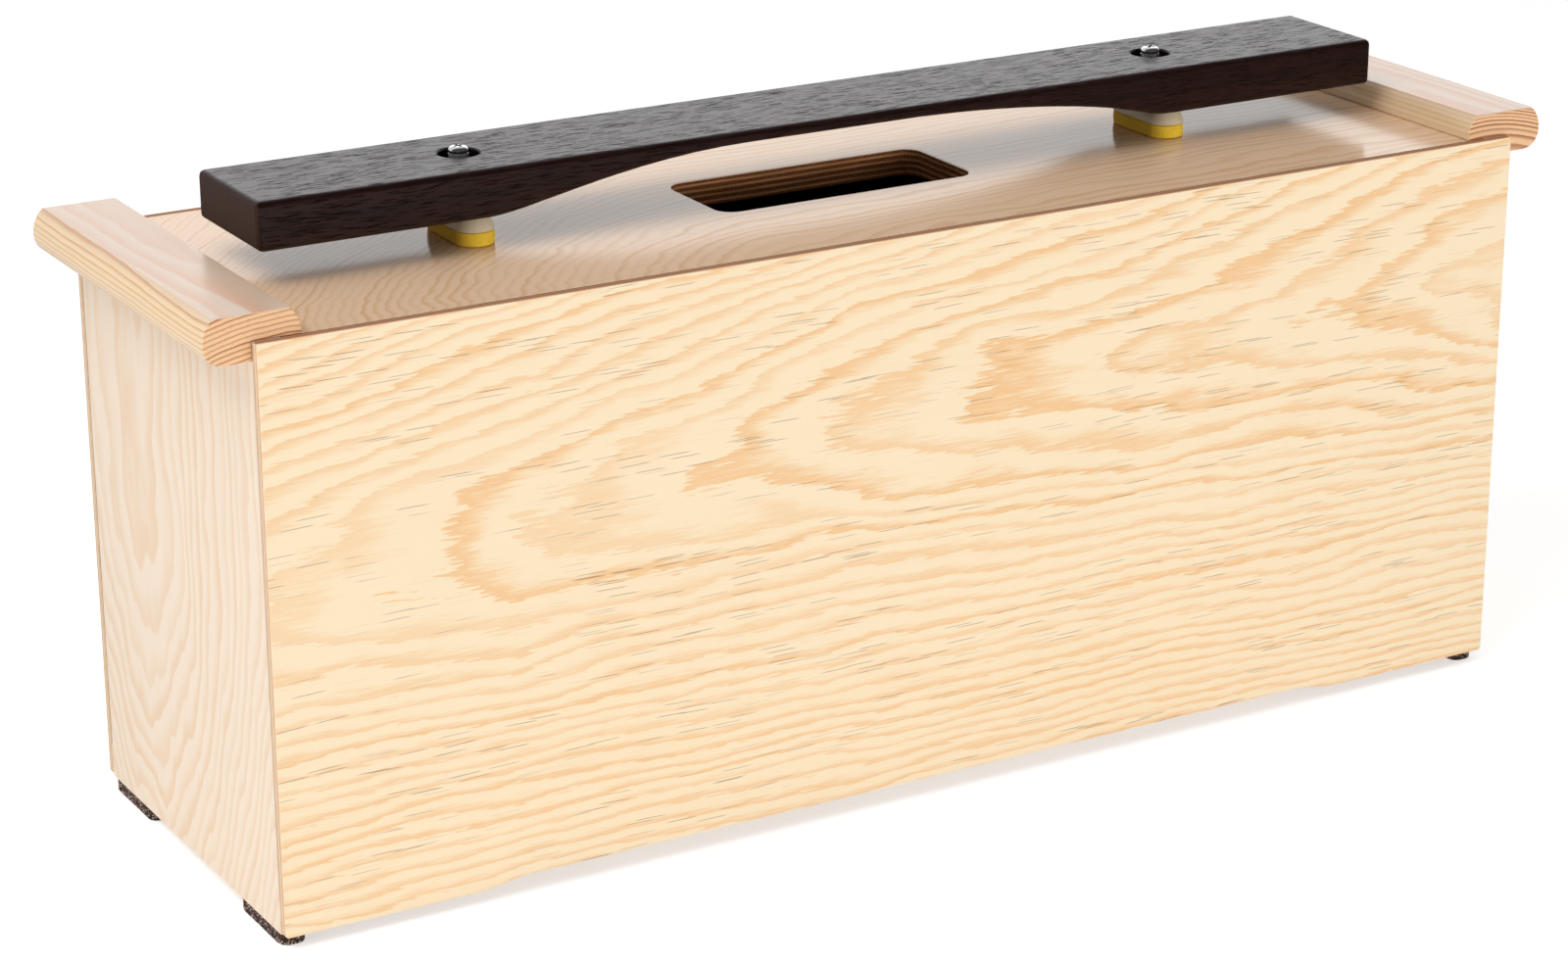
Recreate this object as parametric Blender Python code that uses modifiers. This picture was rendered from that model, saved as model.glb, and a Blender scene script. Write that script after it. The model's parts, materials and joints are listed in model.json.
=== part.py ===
"""Resonator bar: one low tone bar of dark hardwood on its own plywood resonance box.

The bar is planed thin in the middle, rests at its two still points on soft pads, and lifts off
over two screw posts. The box is closed except for the opening under the middle of the bar.

Metres. +X along the bar, +Y to the back, +Z up. The origin is on the floor under the box's centre.
"""

import math

import bmesh
import bpy
from mathutils import Matrix, Vector
from mathutils.geometry import interpolate_bezier

# Fits
JOINT_GAP = 0.0003          # between glued or resting pieces

# Box
BOX_LENGTH = 0.700
BOX_DEPTH = 0.221
PANEL_HEIGHT = 0.2856       # front, back and end panels
PANEL_THICKNESS = 0.005     # front and back panels
BOARD_THICKNESS = 0.014     # top board and end panels
BOTTOM_THICKNESS = 0.009
BOTTOM_INSET = 0.010        # bottom board above the panels' lower edge
PANEL_CORNER = 0.0022       # rounded lower corners of the front and back panels
PANEL_EDGE = 0.0005         # sanded edges of the panels
EDGE_STEPS = 2              # facets across a broken edge

# Relief along the lower edge of the front and back panels
RELIEF_DEPTH = 0.0032
RELIEF_HALF_LENGTH = 0.224
RELIEF_RUNOUT = 0.028
RUNOUT_STEPS = 8

# Opening in the top board
OPENING_LENGTH = 0.144
OPENING_WIDTH = 0.060
OPENING_CORNER = 0.009
OPENING_EDGE = 0.0012

# Hand rails lapped over the ends of the box
RAIL_LAP = 0.024            # onto the top of the box
RAIL_OVERHANG = 0.023       # beyond the end of the box
RAIL_RISE = 0.0125
RAIL_LEG = 0.0095           # down the outside of the end panel
RAIL_NOSE_RADIUS = 0.0095   # under the nose
RAIL_SIDE_RADIUS = 0.0140   # of both sides, which meet the flat top at a crease
RAIL_SIDE_FOOT = 0.0015     # upright part of both sides, under the arched one
RAIL_END_EDGE = 0.0010      # sanded edges of the sawn ends

# Feet
FOOT_LENGTH = 0.050
FOOT_WIDTH = 0.0138
FOOT_THICKNESS = 0.006
FOOT_CORNER = 0.005

# Tone bar
BAR_LENGTH = 0.632
BAR_WIDTH = 0.070
BAR_THICKNESS = 0.0236
BAR_WAIST = 0.0060          # thickness left in the middle
BAR_END_ROUND = 0.0030
BAR_LONG_ROUND = 0.0018
BAR_ROUND_STEPS = 3
ARCH_LEFT_START = -0.200    # where the underside leaves the flat, long easy start
ARCH_LEFT_EASE = 0.022
ARCH_LEFT_LEVEL = -0.060
ARCH_LEFT_ROUND = 0.068
ARCH_RIGHT_LEVEL = 0.025
ARCH_RIGHT_ROUND = 0.050
ARCH_RIGHT_START = 0.190    # short steep start
ARCH_RIGHT_EASE = 0.024     # length of the curve between the flat and the slope
ARCH_RIGHT_EASE_RISE = 0.004
ARCH_RIGHT_SLOPE = 0.26
ARCH_RIGHT_LEAN = 0.034     # how far the slope carries on towards the middle
ARCH_STEPS = 14
EASE_STEPS = 6

# Posts and pads at the bar's two still points
POST_OFFSET = 0.1985
SCREW_DIAMETER = 0.0050
SCREW_HEAD_DIAMETER = 0.0096
SCREW_HEAD_HEIGHT = 0.0030
SCREW_HEAD_RIM = 0.0010     # height of the head's edge
SCREW_HEAD_FULLNESS = 0.6   # power of the sine that the pan head follows
SCREW_GRIP = 0.0120         # depth in the top board
SCREW_POINT = 0.0035
RECESS_SPAN = 0.0052
RECESS_WIDTH = 0.0014
RECESS_DEPTH = 0.0016
SLEEVE_BORE_CLEARANCE = 0.0004
SLEEVE_WALL = 0.0020
SLEEVE_EDGE = 0.0004        # broken edge of the rim
SLEEVE_PROUD = 0.0002       # above the top of the bar
BAR_HOLE_CLEARANCE = 0.0052 # round the sleeve, so that the bar floats free
BAR_HOLE_EDGE = 0.0007
BORING_REACH = 0.0030       # of the boring tool past the bar
PAD_LENGTH = 0.0488
PAD_WIDTH = 0.0196
PAD_HOLE_CLEARANCE = 0.0004
FELT_THICKNESS = 0.0066
CAP_HEIGHT = 0.0095
CAP_FLAT = 0.0012           # flat left along the crown

ROUND_SIDES = 40
CORNER_STEPS = 6

# Levels and spans that follow from the sizes above
BOX_BASE = FOOT_THICKNESS + JOINT_GAP
BOX_TOP = BOX_BASE + PANEL_HEIGHT
INNER_DEPTH = BOX_DEPTH - 2 * (PANEL_THICKNESS + JOINT_GAP)
INNER_LENGTH = BOX_LENGTH - 2 * (BOARD_THICKNESS + JOINT_GAP)
FELT_BASE = BOX_TOP + JOINT_GAP
CAP_BASE = FELT_BASE + FELT_THICKNESS + JOINT_GAP
BAR_BASE = CAP_BASE + CAP_HEIGHT + JOINT_GAP
BAR_TOP = BAR_BASE + BAR_THICKNESS
SLEEVE_BORE = SCREW_DIAMETER + 2 * SLEEVE_BORE_CLEARANCE
SLEEVE_DIAMETER = SLEEVE_BORE + 2 * SLEEVE_WALL
SLEEVE_TOP = BAR_TOP + SLEEVE_PROUD
PAD_HOLE = SLEEVE_DIAMETER + 2 * PAD_HOLE_CLEARANCE
BAR_HOLE = SLEEVE_DIAMETER + 2 * BAR_HOLE_CLEARANCE

SIDES = (("left", -1), ("right", 1))
FACES = (("front", -1), ("back", 1))


def clear_scene():
    for obj in list(bpy.data.objects):
        bpy.data.objects.remove(obj, do_unlink=True)


def new_collection(name):
    collection = bpy.data.collections.new(name)
    bpy.context.scene.collection.children.link(collection)
    return collection


def material(name, colour, roughness, metallic=0.0):
    mat = bpy.data.materials.new(name)
    mat.use_nodes = True
    shader = mat.node_tree.nodes["Principled BSDF"]
    shader.inputs["Base Color"].default_value = (*colour, 1.0)
    shader.inputs["Roughness"].default_value = roughness
    shader.inputs["Metallic"].default_value = metallic
    return mat


def clear_sleeve_material():
    mat = material("clear_sleeve", (0.86, 0.88, 0.87), 0.15)
    mat.node_tree.nodes["Principled BSDF"].inputs["Transmission Weight"].default_value = 0.8
    return mat


def add_object(name, mesh, collection, mat=None, location=(0, 0, 0)):
    obj = bpy.data.objects.new(name, mesh)
    collection.objects.link(obj)
    obj.location = location
    if mat is not None:
        mesh.materials.clear()
        mesh.materials.append(mat)
    return obj


def mesh_from(name, bm):
    bmesh.ops.recalc_face_normals(bm, faces=bm.faces)
    mesh = bpy.data.meshes.new(name)
    bm.to_mesh(mesh)
    bm.free()
    return mesh


def shade_round(obj, angle_degrees=35):
    obj.data.shade_smooth()
    obj.data.set_sharp_from_angle(angle=math.radians(angle_degrees))


def rounded(corners):
    """An outline with its corners turned into arcs. Each corner is x, y, radius."""
    points = []
    count = len(corners)
    for i, (x, y, radius) in enumerate(corners):
        here = Vector((x, y))
        if radius <= 0:
            points.append(here)
            continue
        to_last = (Vector(corners[i - 1][:2]) - here).normalized()
        to_next = (Vector(corners[(i + 1) % count][:2]) - here).normalized()
        half = to_last.angle(to_next) / 2
        run = radius / math.tan(half)
        centre = here + (to_last + to_next).normalized() * (radius / math.sin(half))
        start = here + to_last * run - centre
        end = here + to_next * run - centre
        turn = start.angle_signed(end)
        for step in range(CORNER_STEPS + 1):
            arm = start.copy()
            arm.rotate(Matrix.Rotation(-turn * step / CORNER_STEPS, 2))
            points.append(centre + arm)
    return points


def rounded_rectangle(length, width, radius):
    x, y = length / 2, width / 2
    return rounded([(-x, -y, radius), (x, -y, radius), (x, y, radius), (-x, y, radius)])


def stadium(width, length):
    """An outline with half-round ends, long along y."""
    arm = width / 2
    straight = length / 2 - arm
    steps = ROUND_SIDES // 2
    points = []
    for end in (1, -1):
        for step in range(steps + 1):
            angle = math.pi * step / steps
            points.append(end * Vector((arm * math.cos(angle), straight + arm * math.sin(angle))))
    return points


def circle(diameter, sides=ROUND_SIDES):
    arm = diameter / 2
    angles = [2 * math.pi * i / sides for i in range(sides)]
    return [Vector((arm * math.cos(a), arm * math.sin(a))) for a in angles]


def plate(name, outlines, thickness, collection):
    """A flat outline with holes, given its thickness, as one welded mesh centred on its own plane."""
    curve = bpy.data.curves.new(name, "CURVE")
    curve.dimensions = "2D"
    curve.fill_mode = "BOTH"
    curve.extrude = thickness / 2
    for outline in outlines:
        spline = curve.splines.new("POLY")
        spline.points.add(len(outline) - 1)
        for point, place in zip(spline.points, outline):
            point.co = (place.x, place.y, 0, 1)
        spline.use_cyclic_u = True
    flat = bpy.data.objects.new(name, curve)
    collection.objects.link(flat)
    bpy.context.view_layer.update()
    evaluated = flat.evaluated_get(bpy.context.evaluated_depsgraph_get())
    mesh = bpy.data.meshes.new_from_object(evaluated)
    bpy.data.objects.remove(flat, do_unlink=True)
    bpy.data.curves.remove(curve)
    bm = bmesh.new()
    bm.from_mesh(mesh)
    bmesh.ops.remove_doubles(bm, verts=bm.verts, dist=0.00001)
    bmesh.ops.dissolve_limit(bm, angle_limit=math.radians(0.2), verts=bm.verts, edges=bm.edges)
    bmesh.ops.recalc_face_normals(bm, faces=bm.faces)
    bm.to_mesh(mesh)
    bm.free()
    return mesh


def stand_up(mesh):
    """Turn a plate from the floor so that its outline's y becomes height."""
    mesh.transform(Matrix.Rotation(math.pi / 2, 4, "X"))


def box_mesh(name, size):
    bm = bmesh.new()
    bmesh.ops.create_cube(bm, size=1, matrix=Matrix.Diagonal((*size, 1)))
    return mesh_from(name, bm)


def soften(obj, width, angle_degrees=50):
    bevel = obj.modifiers.new("soft_edges", "BEVEL")
    bevel.width = width
    bevel.segments = EDGE_STEPS
    bevel.limit_method = "ANGLE"
    bevel.angle_limit = math.radians(angle_degrees)


def weigh_edges(mesh, weight_of):
    """Mark the edges that a weighted bevel rounds, from each edge's two ends."""
    bm = bmesh.new()
    bm.from_mesh(mesh)
    layer = bm.edges.layers.float.new("bevel_weight_edge")
    for edge in bm.edges:
        edge[layer] = weight_of(edge)
    bm.to_mesh(mesh)
    bm.free()


def soften_weighted(obj, width, segments):
    bevel = obj.modifiers.new("soft_edges", "BEVEL")
    bevel.width = width
    bevel.segments = segments
    bevel.limit_method = "WEIGHT"
    bevel.use_clamp_overlap = False


def turned(name, profile, collection, mat, location, steps=ROUND_SIDES):
    """A turned piece. The profile's radius and height run down its outer side."""
    mesh = bpy.data.meshes.new(name)
    places = [(radius, 0, height) for radius, height in profile]
    links = [(i, i + 1) for i in range(len(places) - 1)]
    mesh.from_pydata(places, links, [])
    obj = add_object(name, mesh, collection, mat, location)
    screw = obj.modifiers.new("turn", "SCREW")
    screw.axis = "Z"
    screw.angle = 2 * math.pi
    screw.steps = steps
    screw.render_steps = steps
    screw.use_merge_vertices = True
    screw.merge_threshold = 0.00001
    screw.use_smooth_shade = True
    return obj


def cut(obj, cutter):
    boolean = obj.modifiers.new("cut_" + cutter.name, "BOOLEAN")
    boolean.operation = "DIFFERENCE"
    boolean.solver = "EXACT"
    boolean.object = cutter


def hide_cutter(obj):
    obj.hide_render = True
    obj.display_type = "WIRE"
    return obj


def front_or_back_outline():
    """The panel seen from the front: straight, with a shallow relief between its two standing lengths."""
    half = BOX_LENGTH / 2
    foot_end = RELIEF_HALF_LENGTH + RELIEF_RUNOUT
    runout = []
    for step in range(RUNOUT_STEPS + 1):
        part = step / RUNOUT_STEPS
        rise = RELIEF_DEPTH * (1 - math.cos(math.pi * part)) / 2
        runout.append((foot_end - RELIEF_RUNOUT * part, rise))
    lower = [Vector((-x, z)) for x, z in runout] + [Vector(p) for p in reversed(runout)]
    outer = rounded([
        (half, 0, PANEL_CORNER),
        (half, PANEL_HEIGHT, 0),
        (-half, PANEL_HEIGHT, 0),
        (-half, 0, PANEL_CORNER),
    ])
    return lower + outer


def make_front_and_back(collection, mat):
    for name, side in FACES:
        mesh = plate(name + "_panel", [front_or_back_outline()], PANEL_THICKNESS, collection)
        stand_up(mesh)
        y = side * (BOX_DEPTH - PANEL_THICKNESS) / 2
        panel = add_object(name + "_panel", mesh, collection, mat, (0, y, BOX_BASE))
        soften(panel, PANEL_EDGE)


def make_end_panels(collection, mat):
    size = (BOARD_THICKNESS, INNER_DEPTH, PANEL_HEIGHT)
    for name, side in SIDES:
        x = side * (BOX_LENGTH - BOARD_THICKNESS) / 2
        place = (x, 0, BOX_BASE + PANEL_HEIGHT / 2)
        panel = add_object(name + "_end_panel", box_mesh(name + "_end_panel", size), collection, mat, place)
        soften(panel, PANEL_EDGE)


def make_top_board(collection, cutters, mat):
    board = rounded_rectangle(INNER_LENGTH, INNER_DEPTH, 0)
    opening = rounded_rectangle(OPENING_LENGTH, OPENING_WIDTH, OPENING_CORNER)
    mesh = plate("top_board", [board, opening], BOARD_THICKNESS, collection)
    reach = Vector((OPENING_LENGTH / 2, OPENING_WIDTH / 2))
    slack = JOINT_GAP / 2

    def weight_of(edge):
        ends = [v.co for v in edge.verts]
        level = abs(ends[0].z - ends[1].z) < slack
        within = all(abs(p.x) < reach.x + slack and abs(p.y) < reach.y + slack for p in ends)
        return 1.0 if level and within else 0.0

    weigh_edges(mesh, weight_of)
    top = add_object("top_board", mesh, collection, mat, (0, 0, BOX_TOP - BOARD_THICKNESS / 2))
    soften_weighted(top, OPENING_EDGE, EDGE_STEPS)
    depth = SCREW_GRIP + JOINT_GAP
    for name, side in SIDES:
        bm = bmesh.new()
        radius = SCREW_DIAMETER / 2 + JOINT_GAP
        bmesh.ops.create_cone(bm, cap_ends=True, segments=ROUND_SIDES // 2, radius1=radius,
                              radius2=radius, depth=2 * depth)
        pilot = add_object(name + "_pilot_cut", mesh_from(name + "_pilot_cut", bm), cutters,
                           location=(side * POST_OFFSET, 0, BOX_TOP))
        cut(top, hide_cutter(pilot))


def make_bottom_board(collection, mat):
    mesh = box_mesh("bottom_board", (INNER_LENGTH, INNER_DEPTH, BOTTOM_THICKNESS))
    place = (0, 0, BOX_BASE + BOTTOM_INSET + BOTTOM_THICKNESS / 2)
    add_object("bottom_board", mesh, collection, mat, place)


def rail_side():
    """Up the arched side of a rail to its crease: each point's inset from the widest one, and its height."""
    arch = min(RAIL_RISE - RAIL_SIDE_FOOT, RAIL_SIDE_RADIUS)
    full = math.asin(arch / RAIL_SIDE_RADIUS)
    points = []
    for step in range(CORNER_STEPS + 1):
        turn = full * step / CORNER_STEPS
        inset = RAIL_SIDE_RADIUS * (1 - math.cos(turn))
        points.append((inset, RAIL_RISE - arch + RAIL_SIDE_RADIUS * math.sin(turn)))
    return points


def rail_outline(side):
    """Cross-section of a rail: x outwards from the end of the box, y up from the top of the box."""
    corners = [
        (-RAIL_LAP, JOINT_GAP, 0),
        (JOINT_GAP, JOINT_GAP, 0),
        (JOINT_GAP, -RAIL_LEG, 0),
        (RAIL_OVERHANG, -RAIL_LEG, RAIL_NOSE_RADIUS),
    ]
    corners += [(RAIL_OVERHANG - inset, height, 0) for inset, height in rail_side()]
    corners += [(inset - RAIL_LAP, height, 0) for inset, height in reversed(rail_side())]
    return [Vector((side * p.x, p.y)) for p in rounded(corners)]


def make_rails(collection, mat):
    slack = JOINT_GAP / 2

    def weight_of(edge):
        """1 round both sawn ends, but not along the rabbet that sits on the box."""
        ends = [v.co for v in edge.verts]
        on_end = abs(ends[0].y - ends[1].y) < slack
        level = all(abs(p.z - JOINT_GAP) < slack for p in ends)
        upright = all(abs(abs(p.x) - JOINT_GAP) < slack for p in ends)
        return 1.0 if on_end and not level and not upright else 0.0

    for name, side in SIDES:
        mesh = plate(name + "_rail", [rail_outline(side)], INNER_DEPTH, collection)
        stand_up(mesh)
        weigh_edges(mesh, weight_of)
        place = (side * BOX_LENGTH / 2, 0, BOX_TOP)
        rail = add_object(name + "_rail", mesh, collection, mat, place)
        soften_weighted(rail, RAIL_END_EDGE, EDGE_STEPS)
        shade_round(rail)


def make_feet(collection, mat):
    for side_name, side in SIDES:
        for face_name, face in FACES:
            name = side_name + "_" + face_name + "_foot"
            outline = rounded_rectangle(FOOT_WIDTH, FOOT_LENGTH, FOOT_CORNER)
            mesh = plate(name, [outline], FOOT_THICKNESS, collection)
            x = side * (BOX_LENGTH - FOOT_WIDTH) / 2
            y = face * (INNER_DEPTH - FOOT_LENGTH) / 2
            foot = add_object(name, mesh, collection, mat, (x, y, FOOT_THICKNESS / 2))
            shade_round(foot)


def bar_outline():
    """The bar seen from the front, its underside hollowed by an uneven arch. The underside is at y = 0."""
    half = BAR_LENGTH / 2
    rise = BAR_THICKNESS - BAR_WAIST
    left = interpolate_bezier(
        Vector((ARCH_LEFT_START, 0)), Vector((ARCH_LEFT_START + ARCH_LEFT_EASE, 0)),
        Vector((ARCH_LEFT_LEVEL - ARCH_LEFT_ROUND, rise)), Vector((ARCH_LEFT_LEVEL, rise)),
        ARCH_STEPS)
    slope = Vector((1, -ARCH_RIGHT_SLOPE))
    knee = Vector((ARCH_RIGHT_START - ARCH_RIGHT_EASE, ARCH_RIGHT_EASE_RISE))
    right = interpolate_bezier(
        Vector((ARCH_RIGHT_LEVEL, rise)), Vector((ARCH_RIGHT_LEVEL + ARCH_RIGHT_ROUND, rise)),
        knee - slope * ARCH_RIGHT_LEAN, knee, ARCH_STEPS)
    right += interpolate_bezier(
        knee, knee + slope * ARCH_RIGHT_EASE / 4,
        Vector((ARCH_RIGHT_START - ARCH_RIGHT_EASE / 2, 0)), Vector((ARCH_RIGHT_START, 0)), EASE_STEPS)[1:]
    corners = [(half, 0), (half, BAR_THICKNESS), (-half, BAR_THICKNESS), (-half, 0)]
    return left + right + [Vector(corner) for corner in corners]


def hole_cutter_profile():
    """Down the outside of the tool that bores the bar and breaks the rims of the hole."""
    radius = BAR_HOLE / 2
    wide = radius + BAR_HOLE_EDGE + BORING_REACH
    top = BAR_THICKNESS + BORING_REACH
    return [
        (0, top), (wide, top), (radius, BAR_THICKNESS - BAR_HOLE_EDGE),
        (radius, BAR_HOLE_EDGE), (wide, -BORING_REACH), (0, -BORING_REACH),
    ]


def make_bar(collection, cutters, mat):
    mesh = plate("sound_bar", [bar_outline()], BAR_WIDTH, collection)
    stand_up(mesh)
    half = BAR_LENGTH / 2
    slack = JOINT_GAP / 2

    def weight_of(edge):
        ends = [v.co for v in edge.verts]
        across = abs(ends[0].y - ends[1].y) > slack
        at_end = all(abs(p.x) > half - slack for p in ends)
        if at_end:
            return 1.0
        if across:
            return 0.0
        return BAR_LONG_ROUND / BAR_END_ROUND

    weigh_edges(mesh, weight_of)
    lift = bpy.data.objects.new("bar_lift", None)
    lift.location = (0, 0, BAR_BASE)
    collection.objects.link(lift)
    bar = add_object("sound_bar", mesh, collection, mat)
    bar.parent = lift
    soften_weighted(bar, BAR_END_ROUND, BAR_ROUND_STEPS)
    for name, side in SIDES:
        place = (side * POST_OFFSET, 0, BAR_BASE)
        tool = turned(name + "_bar_hole_cut", hole_cutter_profile(), cutters, None, place)
        cut(bar, hide_cutter(tool))
    shade_round(bar)


def make_pads(collection, cutters, felt_mat, cap_mat):
    for name, side in SIDES:
        x = side * POST_OFFSET
        outline = stadium(PAD_WIDTH, PAD_LENGTH)
        felt_mesh = plate(name + "_felt_pad", [outline, circle(PAD_HOLE)], FELT_THICKNESS, collection)
        place = (x, 0, FELT_BASE + FELT_THICKNESS / 2)
        shade_round(add_object(name + "_felt_pad", felt_mesh, collection, felt_mat, place))

        cap_mesh = plate(name + "_pad_cap", [outline], CAP_HEIGHT, collection)
        weigh_edges(cap_mesh, lambda edge: 1.0 if min(v.co.z for v in edge.verts) > 0 else 0.0)
        cap = add_object(name + "_pad_cap", cap_mesh, collection, cap_mat, (x, 0, CAP_BASE + CAP_HEIGHT / 2))
        soften_weighted(cap, min((PAD_WIDTH - CAP_FLAT) / 2, CAP_HEIGHT - CAP_FLAT), CORNER_STEPS)
        bm = bmesh.new()
        bmesh.ops.create_cone(bm, cap_ends=True, segments=ROUND_SIDES, radius1=PAD_HOLE / 2,
                              radius2=PAD_HOLE / 2, depth=2 * CAP_HEIGHT)
        hole = add_object(name + "_cap_hole_cut", mesh_from(name + "_cap_hole_cut", bm), cutters,
                          location=cap.location)
        cut(cap, hide_cutter(hole))
        shade_round(cap)


def sleeve_profile():
    """Down the outside of the tube, then up its bore. The height runs from the top board."""
    outer = SLEEVE_DIAMETER / 2
    inner = SLEEVE_BORE / 2
    top = SLEEVE_TOP - FELT_BASE
    shoulder = top - SLEEVE_EDGE
    return [
        (inner + SLEEVE_EDGE, top), (outer - SLEEVE_EDGE, top), (outer, shoulder), (outer, 0),
        (inner, 0), (inner, shoulder), (inner + SLEEVE_EDGE, top),
    ]


def screw_profile():
    """Down the outside of the screw from the crown of its pan head. The height runs from under the head."""
    head = SCREW_HEAD_DIAMETER / 2
    shank = SCREW_DIAMETER / 2
    dome = SCREW_HEAD_HEIGHT - SCREW_HEAD_RIM
    length = SLEEVE_TOP + JOINT_GAP - BOX_TOP + SCREW_GRIP
    profile = [(0, SCREW_HEAD_HEIGHT)]
    for step in range(1, CORNER_STEPS + 1):
        turn = math.radians(90 * step / CORNER_STEPS)
        profile.append((head * math.sin(turn) ** SCREW_HEAD_FULLNESS, SCREW_HEAD_RIM + dome * math.cos(turn)))
    profile += [(head, 0), (shank, 0), (shank, SCREW_POINT - length), (0, -length)]
    return profile


def cross_outline():
    """The cross recess in a screw's head, one arm's corners turned round four times."""
    long, short = RECESS_SPAN / 2, RECESS_WIDTH / 2
    points = []
    for quarter in range(4):
        turn = Matrix.Rotation(math.pi / 2 * quarter, 2)
        points += [turn @ Vector((short, short)), turn @ Vector((short, long)), turn @ Vector((-short, long))]
    return points


def make_posts(collection, cutters, sleeve_mat, screw_mat):
    for name, side in SIDES:
        x = side * POST_OFFSET
        turned(name + "_sleeve", sleeve_profile(), collection, sleeve_mat, (x, 0, FELT_BASE))
        seat = SLEEVE_TOP + JOINT_GAP
        screw = turned(name + "_screw", screw_profile(), collection, screw_mat, (x, 0, seat))
        cross_mesh = plate(name + "_recess_cut", [cross_outline()], 2 * RECESS_DEPTH, cutters)
        cross = add_object(name + "_recess_cut", cross_mesh, cutters,
                           location=(x, 0, seat + SCREW_HEAD_HEIGHT))
        cut(screw, hide_cutter(cross))


def main():
    clear_scene()
    parts = new_collection("resonator_bar")
    cutters = new_collection("cutters")
    plywood = material("pine_plywood", (0.91, 0.77, 0.56), 0.42)
    top_plywood = material("pine_plywood_top", (0.80, 0.65, 0.46), 0.28)
    pine = material("solid_pine", (0.90, 0.74, 0.55), 0.45)
    make_front_and_back(parts, plywood)
    make_end_panels(parts, plywood)
    make_top_board(parts, cutters, top_plywood)
    make_bottom_board(parts, plywood)
    make_rails(parts, pine)
    make_feet(parts, material("rubber_granulate", (0.17, 0.13, 0.11), 0.9))
    make_bar(parts, cutters, material("dark_rosewood", (0.045, 0.026, 0.022), 0.4))
    felt = material("yellow_felt", (0.83, 0.58, 0.08), 0.85)
    make_pads(parts, cutters, felt, material("cream_foam", (0.85, 0.82, 0.66), 0.6))
    steel = material("bright_steel", (0.75, 0.76, 0.77), 0.2, 1.0)
    make_posts(parts, cutters, clear_sleeve_material(), steel)


main()
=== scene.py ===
"""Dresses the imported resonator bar: its woods, pads, posts and feet, on a plain studio stage."""

import json
import math
from typing import NamedTuple

import bmesh
import bpy
from bpy.props import FloatProperty, FloatVectorProperty, IntProperty, PointerProperty
from mathutils import Euler, Matrix, Vector

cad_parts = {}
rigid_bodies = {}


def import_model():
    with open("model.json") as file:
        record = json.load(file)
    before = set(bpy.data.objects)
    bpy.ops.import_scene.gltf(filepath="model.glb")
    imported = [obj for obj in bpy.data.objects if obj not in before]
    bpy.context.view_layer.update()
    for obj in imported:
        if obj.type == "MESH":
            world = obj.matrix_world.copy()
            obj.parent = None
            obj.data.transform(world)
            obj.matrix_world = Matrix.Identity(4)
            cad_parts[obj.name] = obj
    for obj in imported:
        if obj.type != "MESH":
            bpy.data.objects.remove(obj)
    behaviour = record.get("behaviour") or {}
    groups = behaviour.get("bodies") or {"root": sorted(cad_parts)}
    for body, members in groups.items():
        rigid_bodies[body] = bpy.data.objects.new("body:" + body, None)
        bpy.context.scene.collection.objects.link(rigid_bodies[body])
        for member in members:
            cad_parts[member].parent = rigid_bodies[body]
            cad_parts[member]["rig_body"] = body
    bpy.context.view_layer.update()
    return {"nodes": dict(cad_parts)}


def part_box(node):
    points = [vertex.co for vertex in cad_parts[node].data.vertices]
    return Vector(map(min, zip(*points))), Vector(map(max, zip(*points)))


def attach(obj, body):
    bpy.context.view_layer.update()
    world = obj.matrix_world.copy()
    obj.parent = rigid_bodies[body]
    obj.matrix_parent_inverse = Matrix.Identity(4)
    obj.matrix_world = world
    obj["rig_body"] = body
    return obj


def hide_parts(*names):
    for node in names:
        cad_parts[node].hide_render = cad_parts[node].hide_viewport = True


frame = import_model()

bl_info = {
    "name": "Resonator Bar Finishes",
    "version": (1, 0, 0),
    "blender": (4, 5, 0),
    "location": "3D View > Sidebar > Resonator Bar",
    "description": "Finishes and stage for a tone bar on its resonance box",
    "category": "Object",
}

# Camera fitted to the corners of the box and the bar, in a frame of 1600 by 985
CAMERA_PLACE = (-0.9716, -1.6378, 0.8063)
CAMERA_AZIMUTH = 30.116
CAMERA_ELEVATION = 19.507
CAMERA_ROLL = -0.157
CAMERA_LENS = 90.61
CAMERA_CLIP = (0.05, 60)

# Lamps: size, place and the node each looks at. The back one shows only in glossy faces
LAMPS = (
    ("key", (1.6, 1.2), (-1.3, -0.35, 2.0), "top_board"),
    ("fill", (1.6, 0.7), (1.3, -2.0, 0.75), "top_board"),
    ("low", (0.9, 0.18), (-1.3, -0.3, 0.10), "left_end_panel"),
    ("front", (2.6, 0.30), (0.5, -2.2, 0.42), "front_panel"),
    ("back", (3.4, 1.8), (1.5, 2.6, 1.4), "top_board"),
)
FLOOR_REACH = 12

# Length and width of the long, middle and short waves of growth rings, and the detail of each
RING_WAVES = ((0.28, 0.09, 1.0), (0.080, 0.026, 2.0), (0.014, 0.0011, 2.0))
ROW_WAVE = (0.15, 0.05)          # length and width of the waves that rows of strokes follow
ROW_SWAY = 0.008                 # depth of those waves
ROW_SHIFT = 50.0                 # most that a row is shifted against the next, in strokes
TOP_PLIES = 9
# The dark in each screw's cross is painted shade in its recess
CROSS_SHADE_RIM = (0.00011, 0.00017)   # how deep under a screw's top the dark of its cross begins
CROSS_SHADE_FLOOR = (0.0026, 0.0022)   # how deep it ends
MARGIN = 0.001                   # room between a colour's end and the edge that it must not cross
MERGE = 0.00001
FLAT_DEGREES = 0.5
SMOOTH_DEGREES = 30
PAD_SMOOTH_DEGREES = 50
TONE = "tone"
PAD_STEPS = 96
EDGE_STEPS = 5
DOME_STEPS = 14
DOME_POWER = 1.33   # over 1 leans the cap's sides inwards
BORE_LENGTH = 4     # length of the cutter for a pad's hole, in heights of the pad
CRUMB_ROOM = 1.1    # what the feet's bases stand back from the CAD feet in all, in crumbs
SIDES = ("left", "right")
FACES = ("front", "back")


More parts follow.
